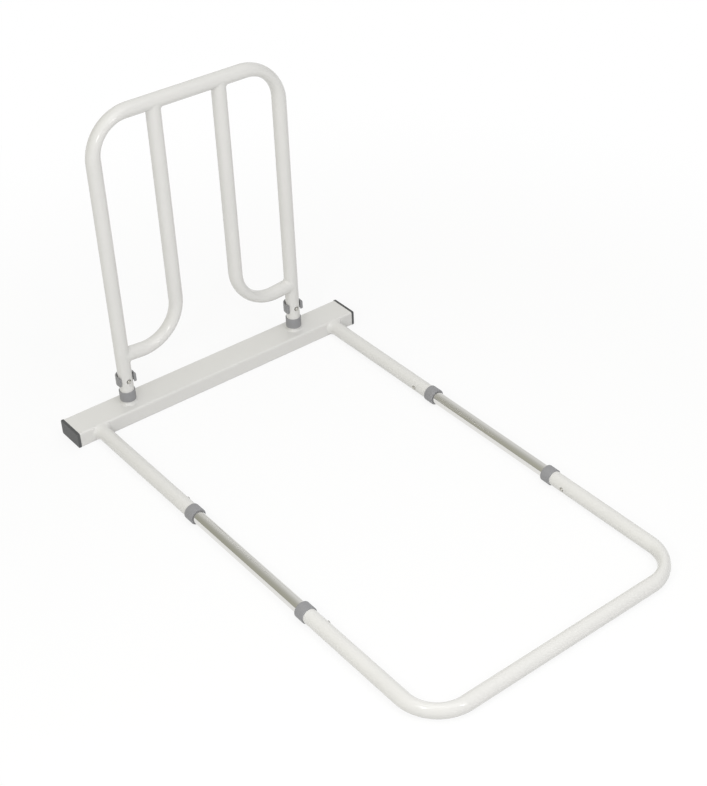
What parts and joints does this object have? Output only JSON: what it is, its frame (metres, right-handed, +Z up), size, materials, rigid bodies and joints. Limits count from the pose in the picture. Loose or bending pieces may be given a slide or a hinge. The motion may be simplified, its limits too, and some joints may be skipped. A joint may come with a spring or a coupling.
{
  "type": "bed assist bar",
  "caption": "Bed assist bar: lift-off tubular handle on a crossbar, with a pull-apart frame that slides under the mattress.",
  "frame": {"origin": "centre of the crossbar's bottom face, on the surface that the part rests on", "axes": "+X along the crossbar to the right of someone who faces the mattress side; +Y away from the under-mattress frame, which reaches out along -Y; +Z up along the handle"},
  "size_m": [0.521, 0.8264, 0.4992],
  "materials": {
    "white_coat": "semi-gloss warm white powder coat on steel tube",
    "chrome_tube": "polished chrome plate on steel tube",
    "grey_plastic": "moulded mid-grey plastic, satin",
    "clip_plastic": "moulded grey plastic, satin",
    "cap_plastic": "moulded dark grey plastic, satin",
    "button_steel": "bright zinc-plated steel",
    "spring_steel": "plain spring steel"
  },
  "bodies": {
    "base": {"crossbar": "white_coat", "left_end_cap": "cap_plastic", "right_end_cap": "cap_plastic", "left_base_tube": "white_coat", "right_base_tube": "white_coat", "left_handle_post": "white_coat", "right_handle_post": "white_coat", "left_base_collar": "grey_plastic", "right_base_collar": "grey_plastic", "left_handle_spring": "spring_steel", "right_handle_spring": "spring_steel"},
    "handle": {"handle_frame": "white_coat", "left_grab_bar": "white_coat", "right_grab_bar": "white_coat", "left_handle_collar": "grey_plastic", "right_handle_collar": "grey_plastic"},
    "left_clip": {"left_locking_clip": "clip_plastic"},
    "right_clip": {"right_locking_clip": "clip_plastic"},
    "left_inner": {"left_inner_tube": "chrome_tube", "left_base_spring": "spring_steel", "left_u_spring": "spring_steel"},
    "right_inner": {"right_inner_tube": "chrome_tube", "right_base_spring": "spring_steel", "right_u_spring": "spring_steel"},
    "far_frame": {"u_frame": "white_coat", "left_u_collar": "grey_plastic", "right_u_collar": "grey_plastic"},
    "left_handle_button_body": {"left_handle_button": "button_steel"},
    "right_handle_button_body": {"right_handle_button": "button_steel"},
    "left_base_button_body": {"left_base_button": "button_steel"},
    "right_base_button_body": {"right_base_button": "button_steel"},
    "left_u_button_body": {"left_u_button": "button_steel"},
    "right_u_button_body": {"right_u_button": "button_steel"}
  },
  "joints": [
    {"name": "handle_lift", "type": "slide", "parent": "base", "child": "handle", "axis": [0, 0, 1], "range_m": [0, 0.075], "deforming": ["left_handle_button", "right_handle_button"]},
    {"name": "left_clip_pull", "type": "slide", "parent": "handle", "child": "left_clip", "axis": [0, 1, 0], "range_m": [0, 0.03], "deforming": ["left_locking_clip"]},
    {"name": "right_clip_pull", "type": "slide", "parent": "handle", "child": "right_clip", "axis": [0, 1, 0], "range_m": [0, 0.03], "deforming": ["right_locking_clip"]},
    {"name": "left_inner_slide", "type": "slide", "parent": "base", "child": "left_inner", "axis": [0, -1, 0], "range_m": [0, 0.085], "deforming": ["left_base_button"]},
    {"name": "right_inner_slide", "type": "slide", "parent": "base", "child": "right_inner", "axis": [0, -1, 0], "range_m": [0, 0.085], "deforming": ["right_base_button"]},
    {"name": "far_frame_slide", "type": "slide", "parent": "left_inner", "child": "far_frame", "axis": [0, -1, 0], "range_m": [0, 0.085], "deforming": ["left_u_button", "right_u_button"]},
    {"name": "left_handle_button_press", "type": "slide", "parent": "base", "child": "left_handle_button_body", "axis": [0, 1, 0], "range_m": [0, 0.0035], "stiffness_N_per_m": 800, "springref_m": -0.001, "deforming": ["left_handle_spring"]},
    {"name": "right_handle_button_press", "type": "slide", "parent": "base", "child": "right_handle_button_body", "axis": [0, 1, 0], "range_m": [0, 0.0035], "stiffness_N_per_m": 800, "springref_m": -0.001, "deforming": ["right_handle_spring"]},
    {"name": "left_base_button_press", "type": "slide", "parent": "left_inner", "child": "left_base_button_body", "axis": [-1, 0, 0], "range_m": [0, 0.0035], "stiffness_N_per_m": 800, "springref_m": -0.001, "deforming": ["left_base_spring"]},
    {"name": "right_base_button_press", "type": "slide", "parent": "right_inner", "child": "right_base_button_body", "axis": [1, 0, 0], "range_m": [0, 0.0035], "stiffness_N_per_m": 800, "springref_m": -0.001, "deforming": ["right_base_spring"]},
    {"name": "left_u_button_press", "type": "slide", "parent": "left_inner", "child": "left_u_button_body", "axis": [-1, 0, 0], "range_m": [0, 0.0035], "stiffness_N_per_m": 800, "springref_m": -0.001, "deforming": ["left_u_spring"]},
    {"name": "right_u_button_press", "type": "slide", "parent": "right_inner", "child": "right_u_button_body", "axis": [1, 0, 0], "range_m": [0, 0.0035], "stiffness_N_per_m": 800, "springref_m": -0.001, "deforming": ["right_u_spring"]}
  ],
  "couplings": [
    {"joint": "right_inner_slide", "follows": "left_inner_slide", "ratio": 1}
  ]
}
